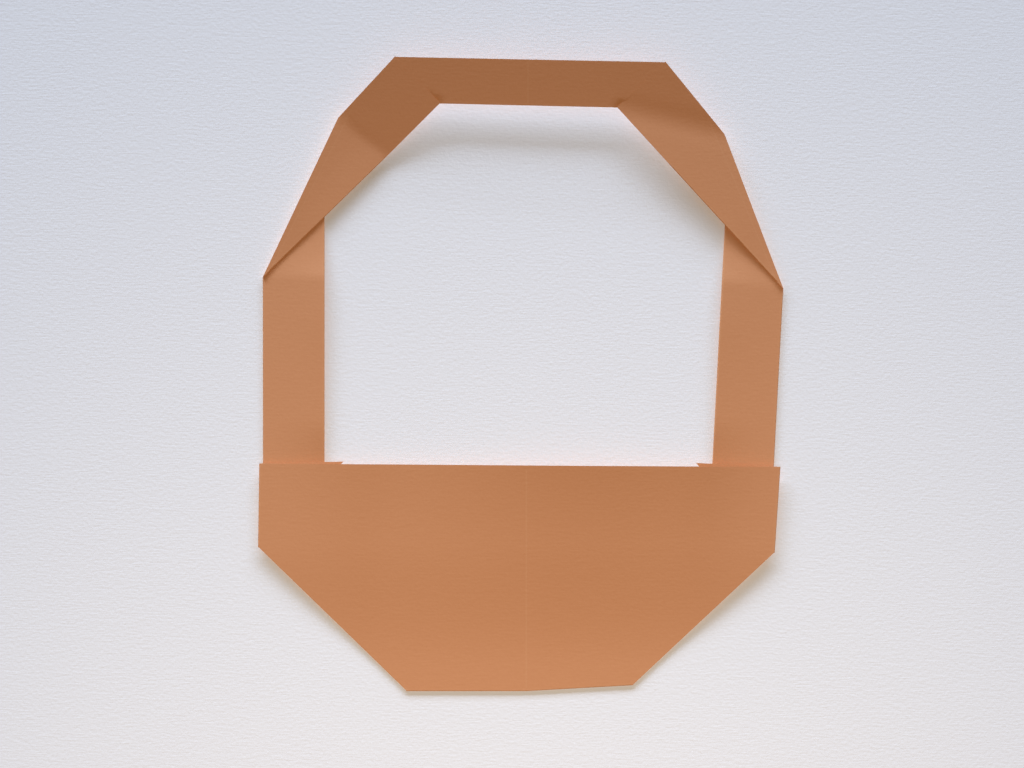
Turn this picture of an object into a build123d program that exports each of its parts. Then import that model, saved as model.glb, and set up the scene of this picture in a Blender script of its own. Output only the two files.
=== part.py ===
from build123d import *
import os
from dataclasses import dataclass
from math import cos, radians, sin

# Folded paper basket: one sheet of kraft paper, folded flat, with a pocket in front and a pleated
# hoop for a handle. It lies on its back. Millimetres, X to the basket's right, Y from the pocket
# towards the top of the handle, +Z out of its front. While it is folded, the origin is where the
# pocket's middle crease meets its bottom fold; at the end it moves to the middle of the outline,
# on the surface that the basket lies on.

# The sheet
PAPER = 0.18                          # thickness of the paper
AIR = 0.12                            # air left between two pressed layers
PITCH = PAPER + AIR                   # from one layer to the next
TIGHT_ROLL = (PITCH + PAPER) / 2      # outer radius of a fold between neighbouring layers
FOLD_RELIEF = 0.8                     # a wide fold stops this short of the point where others meet
EDGE_SLACK = 0.05                     # wide folds stay this far inside the outline
BAND_W = 18.7                         # width of the pleated band
PLEATS = 3                            # layers in the band
ROLL_SIDES = 8                        # flats that stand for the half round of a fold on a slope
CREASE_DEPTH = 0.05                   # dent that a crease leaves after it is opened again
CREASE_W = 0.5                        # half the width of that dent
SLIP = 0.5                            # how far a fold made by hand lands off its mark
CREASE_OFF = 4 * SLIP                 # the middle crease lies this much right of the middle

# The pocket
MOUTH_W = 157.8                       # across the mouth, from side fold to side fold
POCKET_H = 68.6                       # from the bottom fold up to the mouth
BOTTOM_W = 68.9                       # length of the bottom fold
FLAP_LEG = 25.6                       # reach of the side flaps along the mouth
FLAP_PEEK = 0.9                       # how far their tips show over the mouth
APEX_RISE = 35.2                      # how far the sheet's corner reaches up behind the panel
PANEL_LEVEL = PLEATS + 1              # the panel lies on the side flaps, which lie on the band
FLAP_LEVEL = PLEATS

# The handle
INSET = 1.4                           # from the side folds in to the uprights
UPRIGHT_L = 55.2                      # outer edge of an upright, from the mouth to its tip
ARM_L = 74.7                          # inner edge of an arm
ARM_SPREAD = 1.1                      # how much wider than the band an arm has sprung at its end
SHOULDER_RISE = 3.2                   # how far the turned folds have sprung open at the shoulders
LAP_RISE = 0.8                        # how far the left arm has sprung up where its lap starts
LAP = 22.7                            # inner edge of an arm that only the front layer has
FRONT_LEVEL = 2 * PLEATS - 1          # the arms' front layer, once the band has turned over
TUCK_LEVEL = FRONT_LEVEL - 1          # the wedge tucked under the end of an arm
TOP_LEVEL = FRONT_LEVEL - 2           # the top band comes out from under that wedge
HEM_LEVEL = TOP_LEVEL - 1


@dataclass(frozen=True)
class Side:
    """One half of the basket as it was folded by hand, measured from the middle crease."""

    hand: int               # -1 for the left half, +1 for the right half
    mouth_half: float       # from the middle crease to the side fold, at the mouth
    mouth_rise: float       # from the bottom fold up to the mouth
    side_lean: float        # lean of the side fold, outwards going up, in degrees
    corner_half: float      # from the middle crease to the pocket's bottom corner
    corner_rise: float      # height of that corner over the bottom fold
    edge_angle: float       # slope of the sheet's slanted edge, in degrees
    flap_peek: float        # how far the flap's tip shows over the mouth
    inset: float            # from the side fold in to the upright's outer edge, at the mouth
    strip_lean: float       # lean of the upright, outwards going up, in degrees
    strip_rise: float       # length of the upright's outer edge over the mouth
    taper_angle: float      # slope of the turned fold away from the Y axis, in degrees
    arm_angle: float        # slope of the arm, in degrees
    arm_reach: float        # length of the arm's inner edge
    arm_spread: float       # how much wider than the band the arm has sprung at its end
    shoulder_rise: float    # how far the turned fold has sprung open at the shoulder


LEFT = Side(
    hand=-1,
    mouth_half=MOUTH_W / 2 + CREASE_OFF,
    mouth_rise=POCKET_H + SLIP,
    side_lean=-0.9,
    corner_half=BOTTOM_W / 2 + CREASE_OFF,
    corner_rise=0.0,
    edge_angle=44.4,
    flap_peek=FLAP_PEEK - 0.6 * SLIP,
    inset=INSET - 0.8 * SLIP,
    strip_lean=0.0,
    strip_rise=UPRIGHT_L + 2.4 * SLIP,
    taper_angle=25.5,
    arm_angle=44.3,
    arm_reach=ARM_L + 0.7 * SLIP,
    arm_spread=ARM_SPREAD - 0.4 * SLIP,
    shoulder_rise=SHOULDER_RISE - 0.4 * SLIP,
)
RIGHT = Side(
    hand=1,
    mouth_half=MOUTH_W / 2 - CREASE_OFF,
    mouth_rise=POCKET_H - SLIP,
    side_lean=3.6,
    corner_half=BOTTOM_W / 2 - CREASE_OFF,
    corner_rise=3.6 * SLIP,
    edge_angle=43.4,
    flap_peek=FLAP_PEEK + 0.6 * SLIP,
    inset=INSET + 0.8 * SLIP,
    strip_lean=3.0,
    strip_rise=UPRIGHT_L - 2.4 * SLIP,
    taper_angle=21.1,
    arm_angle=47.3,
    arm_reach=ARM_L - 0.7 * SLIP,
    arm_spread=ARM_SPREAD + 0.4 * SLIP,
    shoulder_rise=SHOULDER_RISE + 0.4 * SLIP,
)


@dataclass(frozen=True)
class Line2:
    """A straight line in the flat plan, by a point on it and its unit direction."""

    at: Vector
    along: Vector

    def normal(self, towards: Vector) -> Vector:
        """The unit normal on the side that a vector points to."""
        turned = Vector(-self.along.Y, self.along.X)
        return turned * -1 if turned.dot(towards) < 0 else turned

    def shifted(self, towards: Vector, distance: float) -> "Line2":
        """The parallel line that lies a distance away, on the side that a vector points to."""
        return Line2(self.at + self.normal(towards) * distance, self.along)

    def meets(self, other: "Line2") -> Vector:
        """The point that two lines share."""
        gap = other.at - self.at
        turn = self.along.X * other.along.Y - self.along.Y * other.along.X
        reach = (gap.X * other.along.Y - gap.Y * other.along.X) / turn
        return self.at + self.along * reach


def heading(hand: int, angle: float) -> Vector:
    """The direction that rises at an angle, in degrees, and leans outwards on one side."""
    return Vector(hand * cos(radians(angle)), sin(radians(angle)))


def through(start: Vector, end: Vector) -> Line2:
    """The line through two points."""
    return Line2(start, (end - start).normalized())


def mirrored(point: Vector, line: Line2) -> Vector:
    """Where a point of the sheet comes to lie once the sheet is folded over along a line."""
    offset = point - line.at
    return line.at + line.along * (2 * offset.dot(line.along)) - offset


@dataclass(frozen=True)
class Ground:
    """The plane that a group of layers follows, by a point on it and its rise along X and Y."""

    at: Vector
    slope: Vector

    def under(self, point: Vector, height: float = 0.0) -> Vector:
        """The point at a height over the plane, above or below a point of the plan."""
        rise = self.at.Z + (point - self.at).dot(self.slope)
        return Vector(point.X, point.Y, rise + height)


FLAT = Ground(Vector(0, 0), Vector(0, 0))


def ground_over(*points: Vector) -> Ground:
    """The plane through three points."""
    normal = (points[1] - points[0]).cross(points[2] - points[0])
    return Ground(points[0], Vector(-normal.X / normal.Z, -normal.Y / normal.Z))


def raised(point: Vector, height: float) -> Vector:
    """A point of the plan, at a height."""
    return Vector(point.X, point.Y, height)


def layer(points: list, level: int, ground: Ground = FLAT) -> Part:
    """One flat facet of the sheet, at its level in the stack."""
    corners = [ground.under(point, level * PITCH) for point in points]
    facet = make_face(Polyline(*corners, close=True)).face()
    return Part() + Solid.extrude(facet, Vector(0, 0, PAPER))


def flats(outer: float) -> list:
    """The corners of a half ring that is made of flats, round its outside and back inside."""
    turns = [180 * step / ROLL_SIDES - 90 for step in range(ROLL_SIDES + 1)]
    outside = [(outer * cos(radians(turn)), outer * sin(radians(turn))) for turn in turns]
    inside = [(x * (1 - PAPER / outer), y * (1 - PAPER / outer)) for x, y in reversed(outside)]
    return outside + inside


def half_ring(outer: float, ground: Ground) -> Sketch:
    """The section of a fold: a true half ring, or one of flats where the fold runs up a slope."""
    if ground == FLAT:
        ring = Circle(outer) - Circle(outer - PAPER)
        return ring & (Pos(outer, 0) * Rectangle(2 * outer, 4 * outer))
    return make_face(Polyline(*flats(outer), close=True))


def roll(start: Vector, end: Vector, towards: Vector, levels: tuple, ground: Ground = FLAT) -> Part:
    """The half round that carries the sheet from one level to another along a fold.

    The round bulges to the side that the vector points to, and its axis runs from start to end.
    """
    outer = (abs(levels[1] - levels[0]) * PITCH + PAPER) / 2
    middle = sum(levels) * PITCH / 2 + PAPER / 2
    axis = (end - start).normalized()
    bulge = Vector(-axis.Y, axis.X)
    if bulge.dot(towards) < 0:
        bulge = bulge * -1
    near = ground.under(start, middle)
    far = ground.under(end, middle)
    section = (Plane(origin=near, x_dir=bulge, z_dir=axis) * half_ring(outer, ground)).face()
    return Part() + Solid.extrude(section, far - near)


def opening_roll(start: Vector, end: Vector, towards: Vector, levels: tuple, ground: Ground) -> Part:
    """The half round of a fold that opens along its length.

    Its lower layer lies flat and its upper one follows a plane that rises from it.
    """
    bulge = through(start, end).normal(towards)
    rings = []
    for at in (start, end):
        low = levels[0] * PITCH
        outer = (ground.under(at, levels[1] * PITCH + PAPER).Z - low) / 2
        ring = [raised(at + bulge * x, low + outer + y) for x, y in flats(outer)]
        rings.append(ring)
    sides = zip(rings[0], rings[0][1:] + rings[0][:1], rings[1][1:] + rings[1][:1], rings[1])
    faces = [make_face(Polyline(*corners, close=True)).face() for corners in (*rings, *sides)]
    return Part() + Solid(Shell(faces))


def opened_crease(start: Vector, end: Vector, level: int, ground: Ground = FLAT) -> Part:
    """The dent along a crease that was opened again, as a groove to cut from the front."""
    axis = (end - start).normalized()
    side = Vector(-axis.Y, axis.X) * CREASE_W
    lift = Vector(0, 0, CREASE_DEPTH)
    near = ground.under(start, level * PITCH + PAPER)
    far = ground.under(end, level * PITCH + PAPER)
    notch = make_face(Polyline(near + side + lift, near - lift, near - side + lift, close=True)).face()
    return Part() + Solid.extrude(notch, far - near)


class Half:
    """The lines and corners of one half of the basket, worked out from its hand-folded sizes."""

    def __init__(self, side: Side):
        self.side = side
        self.out = Vector(side.hand, 0)
        self.up = Vector(0, 1)
        self.pocket()
        self.upright()
        self.arm()

    def pocket(self):
        """The pocket's side: mouth, side fold, slanted edge and the flap folded behind it."""
        side = self.side
        self.mouth_corner = Vector(side.hand * side.mouth_half, side.mouth_rise)
        self.bottom_corner = Vector(side.hand * side.corner_half, side.corner_rise)
        self.side_fold = Line2(self.mouth_corner, heading(side.hand, 90 - side.side_lean))
        self.slant = Line2(self.bottom_corner, heading(side.hand, side.edge_angle))
        self.side_foot = self.side_fold.meets(self.slant)
        self.fold_axis = self.side_fold.shifted(self.out * -1, TIGHT_ROLL)
        self.axis_foot = self.fold_axis.meets(self.slant)
        self.axis_head = self.mouth_corner - self.out * TIGHT_ROLL
        reach = self.out * FLAP_LEG
        self.flap_tip = self.mouth_corner - reach + self.up * side.flap_peek
        self.flap_edge = through(self.axis_foot, self.flap_tip)

    def upright(self):
        """The upright of the handle: its edges, and the turned fold at its head."""
        side = self.side
        rise = heading(side.hand, 90 - side.strip_lean)
        edge = Line2(self.mouth_corner - self.out * side.inset, rise)
        self.tip = edge.at + rise * side.strip_rise
        self.strip_outer = edge.shifted(self.out * -1, TIGHT_ROLL)
        self.strip_inner = edge.shifted(self.out * -1, BAND_W - TIGHT_ROLL)
        self.taper = Line2(self.tip, heading(-side.hand, 90 - side.taper_angle))

    def arm(self):
        """The arm: its edges, its square end and the fold of the wedge tucked under that end."""
        side = self.side
        run = heading(-side.hand, side.arm_angle)
        inner = Line2(self.tip, run)
        self.shoulder = self.taper.meets(inner.shifted(self.up, BAND_W))
        inwards = self.taper.normal(self.out * -1)
        wide_roll = (FRONT_LEVEL * PITCH + PAPER) / 2 + EDGE_SLACK
        axis_head = self.shoulder + inwards * (wide_roll + side.shoulder_rise / 2)
        self.taper_axis = through(self.tip + inwards * wide_roll, axis_head)
        self.end_inner = self.tip + run * side.arm_reach
        self.mitre = Line2(self.end_inner, heading(side.hand, 90 - side.arm_angle))
        self.end_outer = self.end_inner + self.mitre.along * (BAND_W + side.arm_spread)
        self.arm_inner = inner.shifted(self.up, TIGHT_ROLL)
        self.arm_outer = through(self.shoulder, self.end_outer).shifted(self.up * -1, TIGHT_ROLL)
        self.tuck_fold = Line2(self.end_outer, heading(-side.hand, 90 + side.arm_angle / 2))
        self.turn_foot = self.taper_axis.meets(self.strip_outer)
        self.turn_head = self.taper_axis.meets(self.arm_outer)
        self.lap = self.mitre.meets(self.arm_inner) - run * LAP
        self.run = run

    def spring(self, lap_rise: float) -> Ground:
        """The plane that the arm's lower part has sprung up to, from its turned fold to its lap."""
        foot = raised(self.turn_foot, 0)
        head = raised(self.turn_head, self.side.shoulder_rise)
        return ground_over(foot, head, raised(self.lap, lap_rise))

    def flap(self) -> Part:
        """The corner of the sheet folded behind the panel, rolled over along the side fold."""
        flap = layer([self.axis_head, self.flap_tip, self.axis_foot], FLAP_LEVEL)
        return flap + roll(self.axis_foot, self.axis_head, self.out, (FLAP_LEVEL, PANEL_LEVEL))

    def band(self) -> Part:
        """The upright: three pleated layers, joined to the flap along its slanted edge."""
        foot_outer = self.flap_edge.meets(self.strip_outer)
        foot_inner = self.flap_edge.meets(self.strip_inner)
        head_outer = self.turn_foot
        head_inner = self.arm_inner.meets(self.strip_inner)
        corners = [foot_outer, foot_inner, head_inner, self.turn_head, head_outer]
        strip = [layer(corners, level) for level in range(PLEATS)]
        for level in range(PLEATS - 1):
            if level % 2 == 0:
                strip.append(roll(foot_outer, head_outer, self.out, (level, level + 1)))
            else:
                strip.append(roll(foot_inner, head_inner, self.out * -1, (level, level + 1)))
        strip.append(roll(foot_outer, foot_inner, self.out * -1, (PLEATS - 1, FLAP_LEVEL)))
        return Part() + strip

    def turn(self, ground: Ground) -> list:
        """The nested rounds that turn the three layers over, from the upright into the arm."""
        end = self.turn_head - self.taper_axis.along * FOLD_RELIEF
        pairs = [(level, FRONT_LEVEL - level) for level in range(PLEATS)]
        return [opening_roll(self.turn_foot, end, self.out, pair, ground) for pair in pairs]

    def arm_layers(self, hoop: Ground) -> Part:
        """The arm: short layers below, and the front layer that runs on to the square end."""
        ground = self.spring(hoop.under(self.lap).Z)
        heel = self.taper_axis.meets(self.arm_inner)
        end_inner = self.mitre.meets(self.arm_inner)
        end_outer = self.mitre.meets(self.arm_outer)
        lower = [heel, self.lap, self.turn_head]
        pieces = [layer(lower, level, ground) for level in range(PLEATS, FRONT_LEVEL + 1)]
        pieces.append(layer([self.lap, end_inner, end_outer, self.turn_head], FRONT_LEVEL, hoop))
        start = heel + self.run * FOLD_RELIEF
        pieces.append(roll(start, self.lap, self.up * -1, (FRONT_LEVEL - 1, FRONT_LEVEL), ground))
        return Part() + pieces + self.turn(ground)

    def tuck(self, inner_fold: Line2, ground: Ground) -> Part:
        """The wedge under the end of the arm: folded under there, and out again as the top band."""
        end_inner = self.mitre.meets(self.arm_inner)
        end_outer = self.mitre.meets(self.arm_outer)
        tuck_fold = Line2(end_outer, self.tuck_fold.along)
        wedge = [end_outer, end_inner, tuck_fold.meets(self.arm_inner)]
        hidden = [end_outer, tuck_fold.meets(inner_fold), self.mitre.meets(inner_fold)]
        back = self.run * -1
        pieces = [
            layer(wedge, TUCK_LEVEL, ground),
            layer(hidden, TOP_LEVEL, ground),
            roll(end_inner, end_outer, self.run, (TUCK_LEVEL, FRONT_LEVEL), ground),
            roll(end_outer, hidden[1], back, (TOP_LEVEL, TUCK_LEVEL), ground),
        ]
        return Part() + pieces


def hoop_ground(left: Half, right: Half) -> Ground:
    """The plane of the hoop's upper part: through both shoulders and the start of the left lap."""
    heads = [raised(half.turn_head, half.side.shoulder_rise) for half in (left, right)]
    return ground_over(*heads, raised(left.lap, LAP_RISE))


def top_band(left: Half, right: Half, ground: Ground) -> Part:
    """The middle of the handle, with the hem folded up behind along its inner edge."""
    inner_edge = through(left.end_inner, right.end_inner)
    inner_fold = inner_edge.shifted(Vector(0, 1), TIGHT_ROLL)
    top = [half.mitre.meets(half.arm_outer) for half in (left, right)]
    low = [half.mitre.meets(inner_fold) for half in (left, right)]
    top_edge = through(*top)
    hem_w = BAND_W - (top[0] - mirrored(top[0], inner_fold)).length / 2
    hem_edge = inner_fold.shifted(Vector(0, 1), hem_w)
    hem = [half.mitre.meets(hem_edge) for half in (left, right)]
    pieces = [
        layer([top[0], low[0], low[1], top[1]], TOP_LEVEL, ground),
        layer([low[0], low[1], hem[1], hem[0]], HEM_LEVEL, ground),
        roll(low[0], low[1], Vector(0, -1), (HEM_LEVEL, TOP_LEVEL), ground),
        left.tuck(inner_fold, ground),
        right.tuck(inner_fold, ground),
    ]
    middle = Line2(Vector(0, 0), Vector(0, 1))
    past = Vector(0, 2 * TIGHT_ROLL)
    ends = [middle.meets(inner_fold) - past, middle.meets(top_edge) + past]
    return Part() + pieces - opened_crease(*ends, TOP_LEVEL, ground)


def pocket_panel(left: Half, right: Half) -> Part:
    """The front of the pocket, and the sheet's corner folded up behind its bottom edge."""
    middle = Vector(0, TIGHT_ROLL)
    corners = [half.bottom_corner + half.up * TIGHT_ROLL for half in (left, right)]
    panel = [
        left.axis_head, left.axis_foot, corners[0], middle, corners[1],
        right.axis_foot, right.axis_head,
    ]
    apex = [corners[0], middle, corners[1], Vector(0, APEX_RISE)]
    pieces = [layer(panel, PANEL_LEVEL), layer(apex, FLAP_LEVEL), left.flap(), right.flap()]
    for corner in corners:
        run_on = (middle - corner).normalized() * TIGHT_ROLL
        pieces.append(roll(corner, middle + run_on, Vector(0, -1), (FLAP_LEVEL, PANEL_LEVEL)))
    mouth = max(left.mouth_corner.Y, right.mouth_corner.Y)
    crease = opened_crease(Vector(0, -TIGHT_ROLL), Vector(0, mouth + TIGHT_ROLL), PANEL_LEVEL)
    return Part() + pieces - crease


def outline(left: Half, right: Half) -> Part:
    """The outline of the folded basket without its opening, as a block that trims the rounds."""
    corners = [Vector(0, 0)]
    corners += [right.bottom_corner, right.side_foot, right.mouth_corner, right.tip, right.shoulder]
    corners += [right.end_outer, left.end_outer]
    corners += [left.shoulder, left.tip, left.mouth_corner, left.side_foot, left.bottom_corner]
    return extrude(make_face(Polyline(*corners, close=True)), BAND_W, dir=(0, 0, 1))


def folded_sheet() -> Part:
    """The whole basket: every facet and fold of the sheet in one solid."""
    left = Half(LEFT)
    right = Half(RIGHT)
    hoop = hoop_ground(left, right)
    pieces = [pocket_panel(left, right), top_band(left, right, hoop)]
    for half in (left, right):
        pieces += [half.band(), half.arm_layers(hoop)]
    sheet = (Part() + pieces) & outline(left, right)
    box = sheet.bounding_box()
    middle = box.center()
    return Pos(-middle.X, -middle.Y, -box.min.Z) * sheet


os.makedirs("parts", exist_ok=True)
sheet = folded_sheet()
solids = sheet.solids()
print("solids", len(solids), "volume", round(sheet.volume, 2), "box", sheet.bounding_box().size)
export_step(solids[0], "parts/folded_sheet.step")
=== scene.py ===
"""Looks of a folded paper basket that lies on a pale sheet, seen from straight above.

The sheet is built as thin closed layers and the rounds that join them along their folds. A layer's
outline comes from the same hand-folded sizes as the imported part, in millimetres of the plan, and
its height from a relief that says how far the paper has sprung open there.
"""

import logging
from collections.abc import Callable
from dataclasses import dataclass, field
from enum import Enum

import bpy
import numpy as np
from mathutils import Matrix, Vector
from mathutils.geometry import delaunay_2d_cdt

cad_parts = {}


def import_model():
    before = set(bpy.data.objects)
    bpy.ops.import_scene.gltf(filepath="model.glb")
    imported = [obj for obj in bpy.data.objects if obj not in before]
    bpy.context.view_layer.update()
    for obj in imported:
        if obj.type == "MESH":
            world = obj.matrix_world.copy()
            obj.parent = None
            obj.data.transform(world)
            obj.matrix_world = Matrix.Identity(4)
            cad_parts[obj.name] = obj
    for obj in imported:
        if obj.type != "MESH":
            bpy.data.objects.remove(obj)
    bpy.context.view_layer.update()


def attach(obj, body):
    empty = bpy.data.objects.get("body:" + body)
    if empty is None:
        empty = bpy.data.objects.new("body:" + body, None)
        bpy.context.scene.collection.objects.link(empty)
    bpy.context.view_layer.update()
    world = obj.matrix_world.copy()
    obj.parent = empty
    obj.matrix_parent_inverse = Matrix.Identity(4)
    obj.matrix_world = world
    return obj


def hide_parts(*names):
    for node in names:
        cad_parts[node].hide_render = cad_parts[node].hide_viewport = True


LOG = logging.getLogger("basket")
MM = 0.001
NODE = "folded_sheet"
HeightOf = Callable[[np.ndarray], np.ndarray]
ACROSS = np.array([1.0, 0.0])
UP = np.array([0.0, 1.0])

# The basket's sizes, in millimetres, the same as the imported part's.
PAPER = 0.18
AIR = 0.12
PITCH = PAPER + AIR
ROLL = (PITCH + PAPER) / 2
BAND_W = 18.7
SLIP = 0.5
CREASE_OFF = 4 * SLIP
MOUTH_W = 157.8
POCKET_H = 68.6
BOTTOM_W = 68.9
FLAP_LEG = 25.6
FLAP_PEEK = 0.9
APEX_RISE = 35.2
INSET = 1.4
UPRIGHT_L = 55.2
ARM_L = 74.7
ARM_SPREAD = 1.1
LAP = 22.7
SHOULDER_RISE = 3.2
LAP_RISE = 0.8
EDGE_SLACK = 0.05
HEM = 5.0

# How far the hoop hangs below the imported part's, and smaller reliefs, in millimetres.
SHOULDER_DROP = 0.5
LAP_DROP = 1.15
BEHIND_LAG = 0.2
CREASE_X = 0.5
CREASE_DENT = 0.03
CREASE_WIDTH = 0.3
BAND_SINK = 0.015
SLIT_DEPTH = 0.3
SLIT_WIDTH = 0.3
SLIT_FADE = (0.5, 1.3)
TIP_PRESS = 0.3
TIP_SPAN = (4, 26)
LAYER_SHARES = (0.1, 0.85, 1.0)

# How the layers are meshed: steps, rims and clearances in millimetres.
GRAIN = 1.6
ROW_RISE = 0.866
RING = 13
FLATTEN = 0.8
TURN_OVER = 0.1
RIM = 0.4
RIM_CLEAR = 0.36
GRID_CLEAR = 1.1
CREASE_STEP = 0.8
CREASE_SIDE = 0.35
CREASE_CLEAR = 0.3
WELD = 1e-6
SLIVER = 2e-4
SHARP_ANGLE = 35


class Level(Enum):
    """Places in the stack of layers, counted up from the surface that the basket lies on."""

    BACK = 0
    PLEAT = 1
    UPRIGHT = 2
    FLAP = 3
    PANEL = 4
    FRONT = 5


class Edge(Enum):
    """How much an edge of a layer or a line across it is drawn lighter: fibres whitened by folding,
    and painted highlight.
    """

    RAW = 0.0
    FOLD = 1.0


@dataclass(frozen=True)
class Side:
    """One half of the basket as folded by hand; lengths in millimetres, angles in degrees."""

    hand: int
    mouth_half: float
    mouth_rise: float
    side_lean: float
    corner_half: float
    corner_rise: float
    edge_angle: float
    flap_peek: float
    inset: float
    strip_lean: float
    strip_rise: float
    taper_angle: float
    arm_angle: float
    arm_reach: float
    arm_spread: float
    shoulder_rise: float


LEFT = Side(
    hand=-1,
    mouth_half=MOUTH_W / 2 + CREASE_OFF,
    mouth_rise=POCKET_H + SLIP,
    side_lean=-0.9,
    corner_half=BOTTOM_W / 2 + CREASE_OFF,
    corner_rise=0.0,
    edge_angle=44.4,
    flap_peek=FLAP_PEEK - 0.6 * SLIP,
    inset=INSET - 0.8 * SLIP,
    strip_lean=0.0,
    strip_rise=UPRIGHT_L + 2.4 * SLIP,
    taper_angle=25.5,
    arm_angle=44.3,
    arm_reach=ARM_L + 0.7 * SLIP,
    arm_spread=ARM_SPREAD - 0.4 * SLIP,
    shoulder_rise=SHOULDER_RISE - 0.4 * SLIP,
)
RIGHT = Side(
    hand=1,
    mouth_half=MOUTH_W / 2 - CREASE_OFF,
    mouth_rise=POCKET_H - SLIP,
    side_lean=3.6,
    corner_half=BOTTOM_W / 2 - CREASE_OFF,
    corner_rise=3.6 * SLIP,
    edge_angle=43.4,
    flap_peek=FLAP_PEEK + 0.6 * SLIP,
    inset=INSET + 0.8 * SLIP,
    strip_lean=3.0,
    strip_rise=UPRIGHT_L - 2.4 * SLIP,
    taper_angle=21.1,
    arm_angle=47.3,
    arm_reach=ARM_L - 0.7 * SLIP,
    arm_spread=ARM_SPREAD + 0.4 * SLIP,
    shoulder_rise=SHOULDER_RISE + 0.4 * SLIP,
)


def heading(hand: int, angle: float) -> np.ndarray:
    """Gives the unit direction that rises at an angle and leans outwards on one side.

    Args:
        hand: -1 for the left, +1 for the right.
        angle: Degrees above the X axis.

    Returns:
        The direction, two numbers.
    """
    turn = np.radians(angle)
    return np.array([hand * np.cos(turn), np.sin(turn)])


@dataclass(frozen=True)
class Line:
    """A straight line of the plan, by a point on it and its unit direction."""

    at: np.ndarray
    along: np.ndarray

    def normal(self, towards: np.ndarray) -> np.ndarray:
        """Gives the unit normal that points to the side of a direction.

        Args:
            towards: The direction.

        Returns:
            The normal.
        """
        turned = np.array([-self.along[1], self.along[0]])
        return turned if turned @ towards >= 0 else -turned

    def shifted(self, towards: np.ndarray, distance: float) -> "Line":
        """Gives the parallel line a distance away, on the side of a direction.

        Args:
            towards: The direction.
            distance: Millimetres.

        Returns:
            The new line.
        """
        return Line(self.at + self.normal(towards) * distance, self.along)

    def meets(self, other: "Line") -> np.ndarray:
        """Gives the point that two lines share.

        Args:
            other: The second line.

        Returns:
            The point.
        """
        turn = self.along[0] * other.along[1] - self.along[1] * other.along[0]
        gap = other.at - self.at
        return self.at + self.along * (gap[0] * other.along[1] - gap[1] * other.along[0]) / turn

    def past(self, points: np.ndarray, towards: np.ndarray) -> np.ndarray:
        """Gives how far points lie past the line, on the side of a direction.

        Args:
            points: Points, the two numbers of each along the last axis.
            towards: The direction.

        Returns:
            The distances, below zero on the other side.
        """
        return (points - self.at) @ self.normal(towards)


def through(start: np.ndarray, end: np.ndarray) -> Line:
    """Gives the line through two points.

    Args:
        start: The first point.
        end: The second point.

    Returns:
        The line.
    """
    return Line(start, (end - start) / np.linalg.norm(end - start))


class Half:
    """The lines and corners of one half of the basket, worked out from its sizes."""

    def __init__(self, side: Side):
        """Works out the lines and corners.

        Args:
            side: The half's sizes.
        """
        self.side = side
        hand = side.hand
        self.out = np.array([float(hand), 0.0])
        self.mouth = np.array([hand * side.mouth_half, side.mouth_rise])
        self.corner = np.array([hand * side.corner_half, side.corner_rise])
        slant = Line(self.corner, heading(hand, side.edge_angle))
        side_fold = Line(self.mouth, heading(hand, 90 - side.side_lean))
        self.foot = side_fold.meets(slant)
        self.axis_foot = side_fold.shifted(-self.out, ROLL).meets(slant)
        self.axis_head = self.mouth - self.out * ROLL
        self.flap_tip = self.mouth - self.out * FLAP_LEG + UP * side.flap_peek
        self.flap_edge = through(self.axis_foot, self.flap_tip)
        rise = heading(hand, 90 - side.strip_lean)
        self.strip_edge = Line(self.mouth - self.out * side.inset, rise)
        self.tip = self.strip_edge.at + rise * side.strip_rise
        self.strip_outer = self.strip_edge.shifted(-self.out, ROLL)
        self.strip_inner = self.strip_edge.shifted(-self.out, BAND_W - ROLL)
        self.taper = Line(self.tip, heading(-hand, 90 - side.taper_angle))
        self.run = heading(-hand, side.arm_angle)
        self.arm_line = Line(self.tip, self.run)
        self.shoulder = self.taper.meets(self.arm_line.shifted(UP, BAND_W))
        inwards = self.taper.normal(-self.out)
        wide = (Level.FRONT.value * PITCH + PAPER) / 2 + EDGE_SLACK
        axis_head = self.shoulder + inwards * (wide + side.shoulder_rise / 2)
        self.taper_axis = through(self.tip + inwards * wide, axis_head)
        self.end_inner = self.tip + self.run * side.arm_reach
        self.mitre = Line(self.end_inner, heading(hand, 90 - side.arm_angle))
        self.end_outer = self.end_inner + self.mitre.along * (BAND_W + side.arm_spread)
        self.arm_inner = self.arm_line.shifted(UP, ROLL)
        self.arm_outer = through(self.shoulder, self.end_outer).shifted(-UP, ROLL)
        self.turn_foot = self.taper_axis.meets(self.strip_outer)
        self.turn_head = self.taper_axis.meets(self.arm_outer)
        self.heel = self.taper_axis.meets(self.arm_inner)
        self.toe = self.arm_line.meets(self.strip_outer)
        self.lap = self.mitre.meets(self.arm_inner) - self.run * LAP
        self.cross = self.arm_inner.meets(self.strip_inner)


def outline(left: Half, right: Half) -> np.ndarray:
    """Gives the corners of the basket's outline in the plan.

    Args:
        left: The left half.
        right: The right half.

    Returns:
        One row a corner.
    """
    rows = [np.zeros(2)]
    for half in (left, right):
        rows += [half.corner, half.foot, half.mouth, half.tip, half.shoulder, half.end_outer]
    return np.array(rows)


def smooth_step(value: np.ndarray, low: float, high: float) -> np.ndarray:
    """Gives 0 below one bound, 1 above the other, and a smooth cubic rise between them.

    Args:
        value: Where to read it.
        low: The lower bound.
        high: The upper bound.

    Returns:
        The share, from 0 to 1.
    """
    share = np.clip((value - low) / (high - low), 0, 1)
    return share * share * (3 - 2 * share)


def plane_over(*points: tuple) -> np.ndarray:
    """Gives the plane through three points of the plan and their heights.

    Args:
        *points: Pairs of a point and its height.

    Returns:
        The plane's rise along X, its rise along Y and its height over the plan's origin.
    """
    rows = np.array([[*point, 1.0] for point, _ in points])
    return np.linalg.solve(rows, np.array([height for _, height in points]))


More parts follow.
